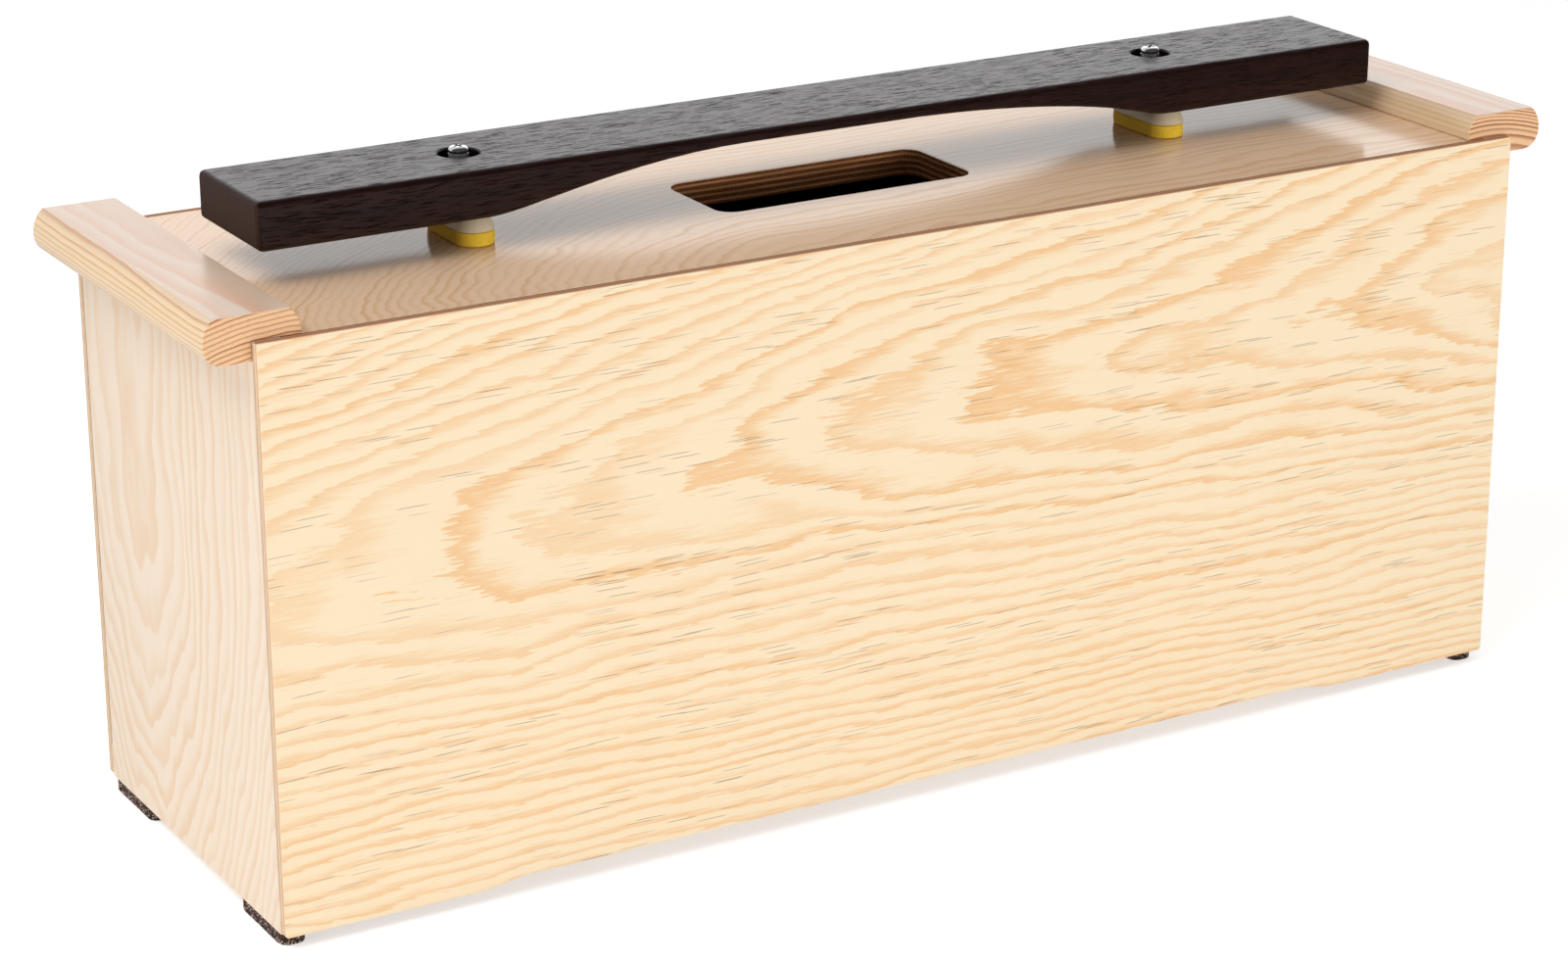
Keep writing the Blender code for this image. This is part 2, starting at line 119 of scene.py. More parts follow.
def body_of(*nodes):
    """The one body that all these nodes ride on."""
    found = {frame["nodes"][node]["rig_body"] for node in nodes}
    if len(found) != 1:
        raise RuntimeError("these nodes don't share a body: " + ", ".join(nodes))
    return found.pop()


def middle(node):
    low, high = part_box(node)
    return (low + high) / 2


def colour(name, description, default):
    return FloatVectorProperty(name=name, description=description, subtype="COLOR", size=3,
                               default=default, min=0, max=1)


def distance(name, description, default):
    return FloatProperty(name=name, description=description, subtype="DISTANCE", unit="LENGTH",
                         default=default, min=0)


def share(name, description, default):
    return FloatProperty(name=name, description=description, subtype="FACTOR",
                         default=default, min=0, max=1)


def watts(name, description, default):
    return FloatProperty(name=name, description=description, unit="POWER", default=default, min=0)


class RosewoodSettings(bpy.types.PropertyGroup):
    dark: colour("Dark Grain", "Darkest streaks of the bar", (0.0065, 0.0010, 0.0009))
    light: colour("Light Grain", "Lightest streaks of the bar", (0.020, 0.0040, 0.0032))
    end: colour("End Grain", "Sawn ends of the bar", (0.037, 0.0145, 0.009))
    roughness: share("Roughness", "Roughness of the oiled faces", 0.34)
    gloss: share("Gloss", "Strength of the sheen", 0.36)
    pore_length: distance("Pore Length", "Length of the open pores along the bar", 0.009)
    pore_width: distance("Pore Width", "Width of the pores across the bar", 0.0005)
    # Painted shade on the walls of the bar's holes round the posts
    hole_shade_reach: distance("Hole Reach", "Reach of the dark hole walls from a post's axis", 0.0104)


class PlywoodSettings(bpy.types.PropertyGroup):
    pale: colour("Early Wood", "Pale wood between the growth lines", (0.955, 0.785, 0.55))
    warm: colour("Late Wood", "Growth lines of the front panel", (0.90, 0.57, 0.29))
    pore: colour("Resin Pore", "Short dark dashes along the grain", (0.19, 0.115, 0.075))
    pore_length: distance("Pore Length", "Length of the dashes", 0.020)
    pore_width: distance("Pore Width", "Width of the dashes", 0.0004)
    end_pale: colour("End Early Wood", "Pale wood of the end panels", (0.95, 0.80, 0.65))
    end_warm: colour("End Late Wood", "Growth lines of the end panels", (0.89, 0.67, 0.47))
    top_pale: colour("Top Early Wood", "Pale wood of the top board", (0.96, 0.67, 0.45))
    top_warm: colour("Top Late Wood", "Growth lines of the top board", (0.81, 0.49, 0.26))
    # Painted shade: the chamber's inner walls are painted dark, standing in for the light that does
    # not reach them
    inside: colour("Inside", "Unlit walls of the chamber", (0.012, 0.007, 0.004))
    ply_dark: colour("Cross Ply", "Plies seen end on in the opening", (0.22, 0.075, 0.028))
    ply_light: colour("Long Ply", "Plies seen along the grain in the opening", (0.62, 0.29, 0.12))
    edge_dark: colour("Edge Line", "Glue lines in the edges of the thin panels", (0.24, 0.12, 0.09))
    edge_core: colour("Edge Core", "Core in the top edges of the thin panels", (0.45, 0.21, 0.10))
    edge_warm: colour("Edge Ply", "Warmer plies in the thin panels' edges", (0.80, 0.48, 0.29))
    line_spacing: distance("Line Spacing", "Distance between growth lines", 0.0057)
    roughness: share("Roughness", "Roughness of the lacquer on front and ends", 0.42)
    top_roughness: share("Top Roughness", "Roughness of the lacquer on the top board", 0.14)
    edge_roughness: share("Edge Roughness", "Roughness of the sanded edges", 0.80)
    gloss: share("Gloss", "Strength of the lacquer's reflection", 0.22)
    top_gloss: share("Top Gloss", "Strength of the reflection of the top board", 0.22)


class PineSettings(bpy.types.PropertyGroup):
    pale: colour("Early Wood", "Pale wood of the rails", (0.79, 0.60, 0.45))
    warm: colour("Late Wood", "Growth rings along the rails", (0.76, 0.41, 0.24))
    # Partly the pine's own colour and partly painted bounce light from the warm board, so the sides
    # show paler and warmer than the tops
    side_pale_and_bounce: colour("Side Early Wood", "Pale wood of the rails' sides", (0.95, 0.71, 0.45))
    side_warm: colour("Side Late Wood", "Growth rings on the rails' sides", (0.66, 0.35, 0.14))
    end_pale: colour("End Early Wood", "Pale wood of the sawn rail ends", (0.90, 0.57, 0.32))
    end_warm: colour("End Late Wood", "Growth rings of the sawn rail ends", (0.36, 0.09, 0.03))
    ring_spacing: distance("Ring Spacing", "Distance between growth rings", 0.0023)
    roughness: share("Roughness", "Roughness of the lacquered rails", 0.24)
    gloss: share("Gloss", "Strength of the rails' reflection", 0.45)


class PadSettings(bpy.types.PropertyGroup):
    yellow: colour("Yellow", "Lower layer of the pads", (1.0, 0.67, 0.05))
    cream: colour("Cream", "Half-round caps that carry the bar", (0.82, 0.71, 0.50))
    pore: distance("Pore", "Size of the pores in the lower layer", 0.0009)
    edge: distance("Edge", "Rounding of the lower layer's edges", 0.0006)
    bulge: distance("Bulge", "How far the sides of the lower layer swell", 0.0002)
    foot: distance("Foot", "Upright part of the cap's sides", 0.0003)
    cap_edge: distance("Cap Edge", "Small edge under the cap's sides", 0.0002)
    hole_gap: distance("Hole Gap", "Play between a sleeve and its hole in the pad", 0.0004)
    fill: share("Fill", "How firm the pads are", 0.9)


class PostSettings(bpy.types.PropertyGroup):
    turn: FloatProperty(name="Turn", description="Turn of each cross against the one before",
                        default=math.radians(28), subtype="ANGLE", unit="ROTATION")
    start_turn: FloatProperty(name="Start Turn", description="Turn of the first screw's cross",
                              default=math.radians(12), subtype="ANGLE", unit="ROTATION")
    # Reach of the painted shade in each screw's cross
    cross_shade_reach: distance("Cross Reach", "Half the span of the cross in a screw's head", 0.0024)


class FootSettings(bpy.types.PropertyGroup):
    dark: colour("Dark Crumb", "Darkest rubber crumbs", (0.022, 0.013, 0.010))
    brown: colour("Brown Crumb", "Commonest rubber crumbs", (0.17, 0.105, 0.085))
    light: colour("Light Crumb", "Pale crumbs", (0.66, 0.50, 0.43))
    crumb: distance("Crumb", "Size of one crumb", 0.0011)
    density: FloatProperty(name="Density", description="Crumbs in each square metre",
                           default=1500000, min=0)
    seed: IntProperty(name="Seed", description="Order of the crumbs", default=7, min=0)


class StageSettings(bpy.types.PropertyGroup):
    key_power: watts("Key Power", "Large soft lamp high on the left", 18)
    fill_power: watts("Fill Power", "Soft lamp in front on the right", 5)
    low_power: watts("Low Power", "Low lamp on the left, under the top board's level", 2.8)
    front_power: watts("Front Power", "Wide low lamp in front", 18)
    back_power: watts("Back Power", "Large lamp behind the bar, seen in gloss", 17)
    surround: share("Surround", "Light from overhead", 0.50)
    horizon: share("Horizon", "Light from the level of the floor", 0.18)
    floor_glow: share("Floor Glow", "Light that the floor adds to what it reflects", 0.06)
    front_shade: share("Front Shade", "How bright the dim front of the studio shows in gloss", 0.07)
    back_shade: share("Back Shade", "How bright the back of the studio shows in gloss", 0.85)


class ResonatorSettings(bpy.types.PropertyGroup):
    rosewood: PointerProperty(type=RosewoodSettings, name="Rosewood")
    plywood: PointerProperty(type=PlywoodSettings, name="Plywood")
    pine: PointerProperty(type=PineSettings, name="Pine")
    pads: PointerProperty(type=PadSettings, name="Pads")
    posts: PointerProperty(type=PostSettings, name="Posts")
    feet: PointerProperty(type=FootSettings, name="Feet")
    stage: PointerProperty(type=StageSettings, name="Stage")


class Nodes:
    """Adds nodes to a tree and joins them as they are added."""

    def __init__(self, tree):
        self.tree = tree

    def add(self, kind, inputs=None, **settings):
        made = self.tree.nodes.new(kind)
        for name, value in settings.items():
            setattr(made, name, value)
        for key, value in (inputs or {}).items():
            self.feed(made.inputs[key], value)
        return made

    def feed(self, socket, value):
        if isinstance(value, bpy.types.NodeSocket):
            self.tree.links.new(value, socket)
        elif value is not None:
            socket.default_value = value

    def math(self, operation, a, b=None, c=None, clamp=False):
        inputs = {0: a, 1: b, 2: c}
        return self.add("ShaderNodeMath", inputs, operation=operation, use_clamp=clamp).outputs[0]

    def random(self, value):
        """One random number for each value."""
        return self.add("ShaderNodeTexWhiteNoise", {"W": value}, noise_dimensions="1D").outputs[0]

    def plus(self, a, b, clamp=False):
        return self.math("ADD", a, b, clamp=clamp)

    def minus(self, a, b):
        return self.math("SUBTRACT", a, b)

    def times(self, a, b):
        return self.math("MULTIPLY", a, b)

    def times_plus(self, a, b, c, clamp=False):
        """The product of a and b, with c added."""
        return self.math("MULTIPLY_ADD", a, b, c, clamp)

    def off(self, value, centre):
        """How far a value is from this one, either way."""
        return self.math("ABSOLUTE", self.minus(value, centre))

    def length(self, a, b):
        """Length of a line that runs a one way and b square to it."""
        return self.math("SQRT", self.plus(self.times(a, a), self.times(b, b)))

    def ease(self, value, low, high, start=0.0, end=1.0):
        """Value taken smoothly from the range low to high into the range start to end."""
        inputs = {0: value, 1: low, 2: high, 3: start, 4: end}
        return self.add("ShaderNodeMapRange", inputs, interpolation_type="SMOOTHSTEP").outputs[0]

    def mix(self, factor, a, b):
        made = self.add("ShaderNodeMix", data_type="RGBA")
        self.feed(made.inputs[0], factor)
        self.feed(made.inputs[6], a)
        self.feed(made.inputs[7], b)
        return made.outputs[2]

    def split(self, vector):
        return self.add("ShaderNodeSeparateXYZ", {0: vector}).outputs


def rgba(value):
    return (*value, 1.0)


def shade(value, times):
    """A colour made this many times as bright."""
    return rgba([part * times for part in value])


class Look(Nodes):
    """A material with its shader, and patterns made from where a point is on the piece."""

    def __init__(self, name, roughness=0.5, metallic=0.0, gloss=0.5):
        self.mat = bpy.data.materials.new(name)
        self.mat.use_nodes = True
        super().__init__(self.mat.node_tree)
        self.inputs = self.tree.nodes["Principled BSDF"].inputs
        self.inputs["Roughness"].default_value = roughness
        self.inputs["Metallic"].default_value = metallic
        self.inputs["Specular IOR Level"].default_value = gloss
        self.place = self.add("ShaderNodeTexCoord").outputs

    def wear(self, tint, rough=None, height=None, strength=0.0, depth=0.0):
        """Give the shader its colour, its roughness and bumps of this height."""
        self.feed(self.inputs["Base Color"], tint)
        self.feed(self.inputs["Roughness"], rough)
        if height is not None:
            inputs = {"Height": height, "Strength": strength, "Distance": depth}
            self.feed(self.inputs["Normal"], self.add("ShaderNodeBump", inputs).outputs[0])

    def position(self):
        """X, Y and Z of each point, in metres."""
        return self.split(self.place["Object"])

    def speckle(self, scale, detail, seed=0.0):
        """Noise with its own fineness along each axis."""
        inputs = {"Vector": self.place["Object"], "Scale": scale, "Location": (seed,) * 3}
        inputs = {"Vector": self.add("ShaderNodeMapping", inputs).outputs[0], "Scale": 1.0,
                  "Detail": detail}
        return self.add("ShaderNodeTexNoise", inputs).outputs[0]

    def fibres(self, along, length, width, seed, detail=2.0):
        """Fine streaks that run along one axis."""
        scale = [1 / width] * 3
        scale[along] = 1 / length
        return self.speckle(scale, detail, seed)

    def facing(self, axis, low=0.55, high=0.8):
        """1 on faces that look along this axis either way, 0 on the others."""
        part = self.split(self.place["Normal"])[axis]
        return self.ease(self.math("ABSOLUTE", part), low, high)


class Cut(NamedTuple):
    """How a board was cut from its log. Lengths are in metres."""

    along: int                 # axis that the log's pith runs along
    pith: tuple                # where the pith crosses the other two axes
    spacing: float             # distance between growth rings
    seed: float
    taper: float = 0.0         # how fast the log thins along its length
    lean: float = 0.0          # slope of the pith line
    swirl: float = 0.0         # how strongly the rings bend back below swirl_start
    swirl_start: float = 0.0
    wander: float = 0.02       # depth of the long, the middle and the short waves of the rings
    ripple: float = 0.008
    teeth: float = 0.004
    crowd: float = 0.0         # how much closer the rings get outwards, from the radius start
    start: float = 0.0
    late: float = 0.45         # share of the darker late wood in a ring
    uneven: float = 0.5        # how much the rings differ in depth


def strokes(look, along, length, width, dense, seed):
    """Short thin strokes that run along one axis in rows, each row shifted against the next."""
    point = look.position()
    first, second = (point[axis] for axis in range(3) if axis != along)
    wave = look.fibres(along, *ROW_WAVE, seed, 1.0)
    level = look.times_plus(wave, ROW_SWAY, look.plus(first, second))
    level = look.math("DIVIDE", level, width)
    row = look.math("FLOOR", level)
    run = look.times_plus(look.random(row), ROW_SHIFT, look.math("DIVIDE", point[along], length))
    cell = look.add("ShaderNodeCombineXYZ", {0: row, 1: look.math("FLOOR", run), 2: seed})
    chance = look.add("ShaderNodeTexWhiteNoise", {"Vector": cell.outputs[0]}).outputs[0]
    stroke = look.ease(chance, 1 - dense, 1 - 0.4 * dense)
    for value, inner in ((run, 0.25), (level, 0.15)):
        off = look.off(look.math("FRACT", value), 0.5)
        stroke = look.times(stroke, look.ease(off, 0.5, inner))
    return stroke


def from_post(look, point, offset):
    """Distance from the axis of the nearer post. Each stands this far to its side of the middle."""
    out = look.minus(look.math("ABSOLUTE", point[0]), offset)
    return look.length(out, point[1])


def growth(look, cut):
    """Growth rings round a pith line: how far through its ring a point is, and the ring's depth."""
    point = look.position()
    across = [axis for axis in range(3) if axis != cut.along]
    drift = look.times(point[cut.along], cut.taper)
    for number, size in enumerate((cut.wander, cut.ripple, cut.teeth)):
        length, width, detail = RING_WAVES[number]
        wave = look.fibres(cut.along, length, width, cut.seed + 7 * number, detail)
        drift = look.plus(drift, look.times_plus(wave, size, -size / 2))
    if cut.swirl:
        beyond = look.math("MAXIMUM", look.minus(cut.swirl_start, point[cut.along]), 0.0)
        drift = look.times_plus(look.math("POWER", beyond, 1.5), cut.swirl, drift)
    away = [look.minus(point[axis], at) for axis, at in zip(across, cut.pith)]
    away[1] = look.times_plus(point[cut.along], -cut.lean, away[1])
    radius = look.plus(look.length(*away), drift)
    turn = look.math("DIVIDE", look.minus(radius, cut.start), cut.spacing)
    if cut.crowd:
        outer = look.math("MAXIMUM", turn, 0.0)
        turn = look.times_plus(look.times(outer, outer), cut.crowd, turn)
    ring = look.random(look.math("FLOOR", turn))
    depth = look.times_plus(ring, cut.uneven, 1 - cut.uneven)
    return look.math("FRACT", turn), depth


def late_wood(look, through, depth, share_of_ring):
    """The darker end of each ring: it sets in softly and stops short."""
    rise = look.ease(through, 1 - share_of_ring * 1.7, 1 - share_of_ring * 0.3)
    band = look.minus(rise, look.ease(through, 1 - share_of_ring * 0.2, 1.0))
    return look.times(band, depth)


def rosewood(settings, offset):
    """Dark oiled wood, with painted shade on the walls of the holes round the posts."""
    look = Look("oiled_rosewood", gloss=settings.gloss)
    broad = look.fibres(0, 0.12, 0.006, 3.0)
    fine = look.fibres(0, 0.03, 0.0009, 9.0)
    streak = look.plus(look.times(broad, 0.35), look.times(fine, 0.65))
    wood = look.mix(look.ease(streak, 0.35, 0.66), rgba(settings.dark), rgba(settings.light))
    away = from_post(look, look.position(), offset)
    # Painted shade: the hole walls round the posts are darkened, standing in for the shade inside
    # the holes
    hole = look.ease(away, settings.hole_shade_reach * 1.02, settings.hole_shade_reach)
    on_end = look.times(look.facing(0), look.minus(1.0, hole))
    open_pore = strokes(look, 0, settings.pore_length, settings.pore_width, 0.35, 21.0)
    open_pore = look.times(open_pore, look.minus(1.0, on_end))
    wood = look.mix(look.times(open_pore, 0.85), wood, shade(settings.dark, 0.25))
    wood = look.mix(hole, wood, shade(settings.dark, 0.3))
    speck = look.speckle((900, 900, 900), 2.0)
    end = look.mix(look.ease(speck, 0.3, 0.7), shade(settings.end, 0.72), rgba(settings.end))
    rough = look.times_plus(open_pore, 0.55, settings.roughness)
    rough = look.times_plus(on_end, 0.30, rough)
    rough = look.times_plus(look.minus(fine, 0.5), 0.08, rough)
    height = look.minus(look.times(fine, 0.30), open_pore)
    height = look.times(height, look.minus(1.0, on_end))
    look.wear(look.mix(on_end, wood, end), rough, height, 0.9, 0.0003)
    return look.mat


def plies(look, axis, low, high, count, settings):
    """The edge of plywood: plies of equal thickness between two heights, dark and light in turn."""
    at = look.position()[axis]
    wave = look.fibres(0, 0.05, 0.01, 31.0, 1.0)
    ply = look.times(look.minus(at, low), count / (high - low))
    ply = look.plus(ply, look.times_plus(wave, 0.5, -0.25))
    odd = look.math("FRACT", look.times_plus(ply, 0.5, 100.0))
    cross = look.times(look.ease(odd, 0.52, 0.60), look.ease(odd, 1.0, 0.94))
    streak = look.fibres(0, 0.03, 0.0006, 33.0)
    grain = look.speckle((900, 900, 1600), 2.0)
    light = look.mix(look.ease(streak, 0.3, 0.7),
                     shade(settings.ply_light, 0.6), shade(settings.ply_light, 1.3))
    dark = look.mix(look.ease(grain, 0.3, 0.7),
                    shade(settings.ply_dark, 0.5), shade(settings.ply_dark, 1.5))
    return look.mix(cross, dark, light)


def three_plies(look, low, high, settings):
    """A thin panel's edge and its mask: glue lines between plies, a darker core along the top."""
    deep = look.math("DIVIDE", look.minus(look.position()[1], low), high - low)
    off = look.off(deep, 0.5)
    core = look.ease(off, 0.30, 0.24)
    glue = look.times(look.ease(look.off(off, 0.27), 0.06, 0.03), 0.75)
    streak = look.speckle((60, 900, 60), 2.0)
    up = look.facing(2)
    ply = look.mix(look.math("MAXIMUM", streak, up), rgba(settings.pale), rgba(settings.edge_warm))
    ply = look.mix(look.times(core, up), ply, rgba(settings.edge_core))
    on_edge = look.minus(1.0, look.facing(1))
    return look.mix(glue, ply, rgba(settings.edge_dark)), on_edge


def veneer(name, settings, cut, pale, warm, roughness, gloss, pores=0.8):
    """Lacquered veneer with growth lines, fibres and resin pores, and the colour of its face."""
    look = Look(name, roughness, gloss=gloss)
    late = late_wood(look, *growth(look, cut), cut.late)
    fine = look.fibres(cut.along, 0.04, 0.0006, cut.seed + 5)
    broad = look.fibres(cut.along, 0.20, 0.04, cut.seed + 11)
    tone = look.times_plus(look.minus(fine, 0.5), 0.35, late)
    tone = look.times_plus(look.minus(broad, 0.5), 0.30, tone, clamp=True)
    face = look.mix(tone, rgba(pale), rgba(warm))
    size = settings.pore_length, settings.pore_width
    thin = strokes(look, cut.along, *size, 0.06, cut.seed + 17)
    groups = look.ease(look.fibres(cut.along, 0.10, 0.022, cut.seed + 23, 1.0), 0.42, 0.56)
    pore = look.times(thin, groups)
    face = look.mix(look.times(pore, pores), face, rgba(settings.pore))
    height = look.minus(look.times(fine, 0.25), look.times(pore, 0.6))
    look.wear(face, look.times_plus(late, 0.06, roughness), height, 0.06, 0.0001)
    return look, face


def painted_wall_shade(look, axis, inward, face, settings):
    """The face colour, with painted shade where it looks into the chamber and lies above the bottom
    board.
    """
    part = look.times(look.split(look.place["Normal"])[axis], inward)
    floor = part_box("bottom_board")[1].z
    above = look.ease(look.position()[2], floor - 2 * MARGIN, floor - MARGIN)
    # painted shade on the faces that look into the chamber, above the bottom board
    dark = look.times(look.ease(part, 0.6, 0.8), above)
    return look.mix(dark, face, rgba(settings.inside))


def rail_pine(name, settings, cut, side_lines):
    """Solid pine: growth rings that show as arcs on the sawn ends and as lines along the faces."""
    look = Look(name, settings.roughness, gloss=settings.gloss)
    through, depth = growth(look, cut)
    rings = late_wood(look, through, depth, cut.late)
    wide = late_wood(look, through, depth, min(1.7 * cut.late, 0.58))
    fine = look.fibres(1, 0.04, 0.0007, cut.seed + 4)
    broad = look.fibres(1, 0.3, 0.012, cut.seed + 8)
    tone = look.times(wide, look.times(broad, 1.8))
    grain = look.times_plus(fine, 0.3, -0.15)
    top = look.mix(look.plus(tone, grain, clamp=True), rgba(settings.pale), rgba(settings.warm))
    lines = look.times_plus(rings, side_lines, grain, clamp=True)
    # The sides' colour is partly the wood's own and partly painted bounce light
    upright = look.mix(lines, rgba(settings.side_pale_and_bounce), rgba(settings.side_warm))
    along = look.mix(look.facing(0, 0.4, 1.0), top, upright)
    saw = look.speckle((1400, 1400, 1400), 2.0)
    end = look.mix(rings, rgba(settings.end_pale), rgba(settings.end_warm))
    end = look.mix(look.ease(saw, 0.62, 0.75), end, shade(settings.end_pale, 0.6))
    on_end = look.facing(1, 0.80, 0.95)
    height = look.plus(look.times(fine, 0.3), look.times(rings, 0.5))
    rough = look.times_plus(on_end, 0.25, settings.roughness)
    look.wear(look.mix(on_end, along, end), rough, height, 0.08, 0.0002)
    return look.mat


def yellow_felt(settings):
    look = Look("yellow_felt", 0.8)
    inputs = {"Vector": look.place["Object"], "Scale": 1 / settings.pore}
    cells = look.add("ShaderNodeTexVoronoi", inputs).outputs["Distance"]
    pore = look.ease(cells, 0.30, 0.12)
    cloud = look.speckle((260, 260, 260), 3.0)
    base = look.mix(cloud, shade(settings.yellow, 0.97), rgba(settings.yellow))
    felt = look.mix(pore, base, shade(settings.yellow, 0.6))
    look.wear(felt, look.times_plus(cloud, 0.15, 0.72), look.minus(1.0, pore), 0.5, 0.0004)
    return look.mat


def cream_cap(settings):
    look = Look("cream_cap", 0.42)
    cloud = look.speckle((180, 90, 180), 3.0)
    speck = look.speckle((2200, 2200, 2200), 1.0)
    base = look.mix(cloud, shade(settings.cream, 0.88), rgba(settings.cream))
    look.wear(base, look.times_plus(cloud, 0.2, 0.32), speck, 0.08, 0.0002)
    look.inputs["Subsurface Weight"].default_value = 0.25
    look.inputs["Subsurface Scale"].default_value = 0.003
    return look.mat


def clear_sleeve():
    look = Look("clear_sleeve", 0.08)
    haze = look.speckle((300, 300, 60), 2.0)
    tint = look.mix(haze, (0.90, 0.92, 0.91, 1), (0.97, 0.98, 0.98, 1))
    look.wear(tint, look.times_plus(haze, 0.1, 0.05))
    look.inputs["Transmission Weight"].default_value = 0.92
    look.inputs["IOR"].default_value = 1.49
    return look.mat


def bright_steel(settings, top, offset):
    """Bright plating, with painted shade in the crosses of the two screws at this offset from the
    middle.
    """
    look = Look("bright_steel", 0.12, metallic=1.0)
    point = look.position()
    brush = look.speckle((900, 900, 300), 3.0)
    plate = look.mix(brush, (0.60, 0.60, 0.61, 1), (0.84, 0.84, 0.85, 1))
    away = from_post(look, point, offset)
    down = look.minus(top, point[2])
    reach = look.ease(away, settings.cross_shade_reach * 1.05, settings.cross_shade_reach)
    # Painted shade: the cross recess is darkened, standing in for the shade inside it
    cross = look.times(look.ease(down, *CROSS_SHADE_RIM), reach)
    cross = look.times(cross, look.ease(down, *CROSS_SHADE_FLOOR))
    rough = look.times_plus(cross, 0.4, look.times_plus(brush, 0.06, 0.04))
    look.wear(look.mix(cross, plate, (0.02, 0.02, 0.022, 1)), rough, brush, 0.04, 0.0001)
    return look.mat


def rubber_crumb(settings):
    """Pressed crumbs: each one's tone comes with its mesh, and the ground between them is dark."""
    look = Look("rubber_crumb", 0.85)
    kind = look.add("ShaderNodeAttribute", attribute_name=TONE).outputs["Fac"]
    body = look.mix(look.ease(kind, 0.1, 0.6), rgba(settings.dark), rgba(settings.brown))
    body = look.mix(look.ease(kind, 0.72, 0.86), body, rgba(settings.light))
    grit = look.speckle((2600, 2600, 2600), 2.0)
    body = look.mix(look.ease(grit, 0.60, 0.75), body, rgba(settings.brown))
    look.wear(body, look.times_plus(grit, 0.2, 0.72), grit, 0.4, 0.0002)
    return look.mat


def geometry_tree(name, inputs):
    """A Geometry Nodes tree with these named inputs, with its nodes and its inputs by name."""
    tree = bpy.data.node_groups.new(name, "GeometryNodeTree")
    for label, kind in inputs:
        tree.interface.new_socket(label, in_out="INPUT", socket_type="NodeSocket" + kind)
    tree.interface.new_socket("Geometry", in_out="OUTPUT", socket_type="NodeSocketGeometry")
    nodes = Nodes(tree)
    return tree, nodes, nodes.add("NodeGroupInput").outputs


def end_tree(nodes, geometry, material):
    """The end of every tree: instances made real, then the material."""
    real = nodes.add("GeometryNodeRealizeInstances", {"Geometry": geometry}).outputs[0]
    done = nodes.add("GeometryNodeSetMaterial", {"Geometry": real, "Material": material}).outputs[0]
    nodes.add("NodeGroupOutput", {"Geometry": done})


def settle(piece):
    """Turn a piece and its modifiers into one plain mesh."""
    evaluated = piece.evaluated_get(bpy.context.evaluated_depsgraph_get())
    mesh = bpy.data.meshes.new_from_object(evaluated)
    piece.modifiers.clear()
    old, piece.data = piece.data, mesh
    bpy.data.meshes.remove(old)
    mesh.name = piece.name


def run_tree(piece, tree, values):
    """Grow the piece with a tree, its inputs set by name, and keep the result as a plain mesh."""
    modifier = piece.modifiers.new(tree.name, "NODES")
    modifier.node_group = tree
    for socket in tree.interface.items_tree:
        if socket.in_out == "INPUT" and socket.name in values:
            modifier[socket.identifier] = values[socket.name]
    settle(piece)


def post_tree():
    """Stands one shape at equal steps along a line, each turned a little against the one before."""
    tree, nodes, given = geometry_tree("stand_along_line", (
        ("Shape", "Object"), ("Count", "Int"), ("Start", "Vector"), ("Step", "Vector"),
        ("Start Turn", "Float"), ("Turn", "Float"), ("Material", "Material")))
    run = {"Count": given["Count"], "Start Location": given["Start"], "Offset": given["Step"]}
    line = nodes.add("GeometryNodeMeshLine", run).outputs[0]
    shape = nodes.add("GeometryNodeObjectInfo", {"Object": given["Shape"]}).outputs["Geometry"]
    number = nodes.add("GeometryNodeInputIndex").outputs[0]
    turn = nodes.times_plus(number, given["Turn"], given["Start Turn"])
    turned = nodes.add("ShaderNodeCombineXYZ", {"Z": turn}).outputs[0]
    stood = nodes.add("GeometryNodeInstanceOnPoints", {"Points": line, "Instance": shape,
                                                       "Rotation": turned}).outputs[0]
    end_tree(nodes, stood, given["Material"])
    return tree


